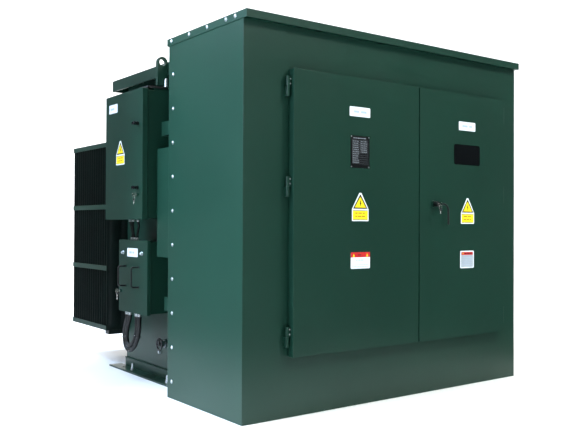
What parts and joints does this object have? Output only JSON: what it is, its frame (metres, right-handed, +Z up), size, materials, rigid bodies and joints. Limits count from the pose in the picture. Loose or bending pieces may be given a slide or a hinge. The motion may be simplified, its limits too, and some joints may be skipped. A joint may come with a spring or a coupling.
{
  "type": "pad-mounted transformer",
  "caption": "Floor-standing oil-filled distribution transformer: tank with rear radiators, side control boxes and a locked front cable cabinet with two swing doors.",
  "frame": {"origin": "centre of the tank floor underside, on the pad", "axes": "+Z up; the cabinet doors face -Y and the radiators +Y; +X is to the right of someone facing the doors"},
  "size_m": [2.1739, 2.5765, 2],
  "materials": {
    "green_paint": "powder coat, semi-gloss",
    "radiator_paint": "powder coat, semi-gloss",
    "black_rubber": "matt",
    "gasket": "matt",
    "zinc": "zinc plated",
    "core_steel": "laminated",
    "copper_coil": "enamelled winding",
    "black_plastic": "moulded",
    "label": "printed",
    "epoxy": "moulded epoxy",
    "grey_terminal": "moulded",
    "red_pointer": "painted",
    "key_metal": "nickel plated",
    "brass_valve": "cast",
    "black_metal": "black coating"
  },
  "bodies": {
    "transformer": {"base_skids": "green_paint", "cabinet_front_frame": "green_paint", "cabinet_left_side": "green_paint", "cabinet_right_side": "green_paint", "cabinet_roof": "green_paint", "cabinet_screws": "zinc", "cable_duct": "green_paint", "cable_glands": "zinc", "compartment_barrier": "green_paint", "conduit_inner": "black_rubber", "conduit_outer": "black_rubber", "control_box_body": "green_paint", "control_cables": "black_rubber", "control_terminals": "grey_terminal", "core_clamps": "core_steel", "core_laminations": "core_steel", "cover_gasket": "gasket", "drain_valve_body": "brass_valve", "hinge_brackets": "green_paint", "hv_bushings": "epoxy", "hv_coils": "copper_coil", "junction_box_body": "green_paint", "lifting_lugs": "green_paint", "lv_bushings": "epoxy", "lv_coils": "copper_coil", "radiator_headers": "radiator_paint", "radiator_panels": "radiator_paint", "radiator_straps": "green_paint", "side_brackets": "green_paint", "switch_and_gauge_cases": "zinc", "tank_body": "green_paint", "tank_bolts": "zinc", "tank_cover": "green_paint", "tank_front_plate": "green_paint"},
    "left_door": {"left_door": "green_paint", "left_door_plates": "label", "left_door_hinge_leaves": "green_paint"},
    "right_door": {"right_door": "green_paint", "right_door_plates": "label", "right_door_hinge_leaves": "green_paint"},
    "door_handle": {"door_handle": "black_metal", "latch_cam": "zinc"},
    "upper_latch_rod": {"upper_latch_rod": "zinc"},
    "lower_latch_rod": {"lower_latch_rod": "zinc"},
    "door_key": {"door_keys": "key_metal"},
    "control_door": {"control_box_door": "green_paint", "control_door_plates": "label"},
    "control_upper_knob": {"control_upper_knob": "black_plastic"},
    "control_lower_knob": {"control_lower_knob": "black_plastic"},
    "control_key": {"control_keys": "key_metal"},
    "junction_cover": {"junction_box_cover": "green_paint", "junction_cover_handles": "black_metal", "junction_cover_nuts": "zinc"},
    "junction_key": {"junction_keys": "key_metal"},
    "drain_handwheel": {"drain_valve_handwheel": "black_metal"},
    "load_break_handle": {"load_break_handle": "black_metal"},
    "tap_changer_handle": {"tap_changer_handle": "black_metal"},
    "level_pointer": {"level_pointer": "red_pointer"},
    "temperature_pointer": {"temperature_pointer": "red_pointer"},
    "relief_ring": {"relief_valve_ring": "zinc"}
  },
  "joints": [
    {"name": "left_door_swing", "type": "hinge", "parent": "transformer", "child": "left_door", "pos_m": [-0.787, -1.2645, 1.105], "axis": [0, 0, -1], "range_deg": [0, 115]},
    {"name": "right_door_swing", "type": "hinge", "parent": "transformer", "child": "right_door", "pos_m": [0.896, -1.2645, 1.105], "axis": [0, 0, 1], "range_deg": [0, 115]},
    {"name": "door_handle_turn", "type": "hinge", "parent": "right_door", "child": "door_handle", "pos_m": [0.24, -1.3, 1.086], "axis": [0, -1, 0], "range_deg": [0, 90]},
    {"name": "upper_latch_slide", "type": "slide", "parent": "right_door", "child": "upper_latch_rod", "axis": [0, 0, -1], "range_m": [0, 0.025]},
    {"name": "lower_latch_slide", "type": "slide", "parent": "right_door", "child": "lower_latch_rod", "axis": [0, 0, 1], "range_m": [0, 0.025]},
    {"name": "door_key_turn", "type": "hinge", "parent": "door_handle", "child": "door_key", "pos_m": [0.24, -1.328, 1.086], "axis": [0, -1, 0], "range_deg": [0, 90]},
    {"name": "control_door_swing", "type": "hinge", "parent": "transformer", "child": "control_door", "pos_m": [-1.065, 0.2775, 1.141], "axis": [0, 0, -1], "range_deg": [0, 110]},
    {"name": "control_upper_knob_turn", "type": "hinge", "parent": "control_door", "child": "control_upper_knob", "pos_m": [-1.089, -0.2005, 1.554], "axis": [-1, 0, 0], "range_deg": [0, 90]},
    {"name": "control_lower_knob_turn", "type": "hinge", "parent": "control_door", "child": "control_lower_knob", "pos_m": [-1.089, -0.2005, 1.178], "axis": [-1, 0, 0], "range_deg": [0, 90]},
    {"name": "control_key_turn", "type": "hinge", "parent": "control_door", "child": "control_key", "pos_m": [-1.099, -0.2005, 1.136], "axis": [-1, 0, 0], "range_deg": [0, 90]},
    {"name": "junction_cover_pull", "type": "slide", "parent": "transformer", "child": "junction_cover", "axis": [-1, 0, 0], "range_m": [0, 0.2]},
    {"name": "junction_key_turn", "type": "hinge", "parent": "junction_cover", "child": "junction_key", "pos_m": [-1.049, 0.1375, 0.549], "axis": [-1, 0, 0], "range_deg": [0, 90]},
    {"name": "drain_valve_turn", "type": "hinge", "parent": "transformer", "child": "drain_handwheel", "pos_m": [-0.909, -0.1295, 0.236], "axis": [1, 0, 0], "continuous": true},
    {"name": "load_break_turn", "type": "hinge", "parent": "transformer", "child": "load_break_handle", "pos_m": [-0.509, -0.5415, 1.48], "axis": [0, -1, 0], "range_deg": [0, 90]},
    {"name": "tap_changer_turn", "type": "hinge", "parent": "transformer", "child": "tap_changer_handle", "pos_m": [-0.219, -0.5415, 1.48], "axis": [0, -1, 0], "range_deg": [-72, 72]},
    {"name": "level_pointer_turn", "type": "hinge", "parent": "transformer", "child": "level_pointer", "pos_m": [-0.749, -0.5175, 1.5], "axis": [0, 1, 0], "range_deg": [-50, 130]},
    {"name": "temperature_pointer_turn", "type": "hinge", "parent": "transformer", "child": "temperature_pointer", "pos_m": [0.639, -0.5175, 1.5], "axis": [0, 1, 0], "range_deg": [-50, 190]},
    {"name": "relief_ring_pull", "type": "slide", "parent": "transformer", "child": "relief_ring", "axis": [0, -1, 0], "range_m": [0, 0.012]}
  ],
  "couplings": [
    {"joint": "upper_latch_slide", "follows": "door_handle_turn", "m_per_rad": 0.0159},
    {"joint": "lower_latch_slide", "follows": "door_handle_turn", "m_per_rad": 0.0159}
  ]
}
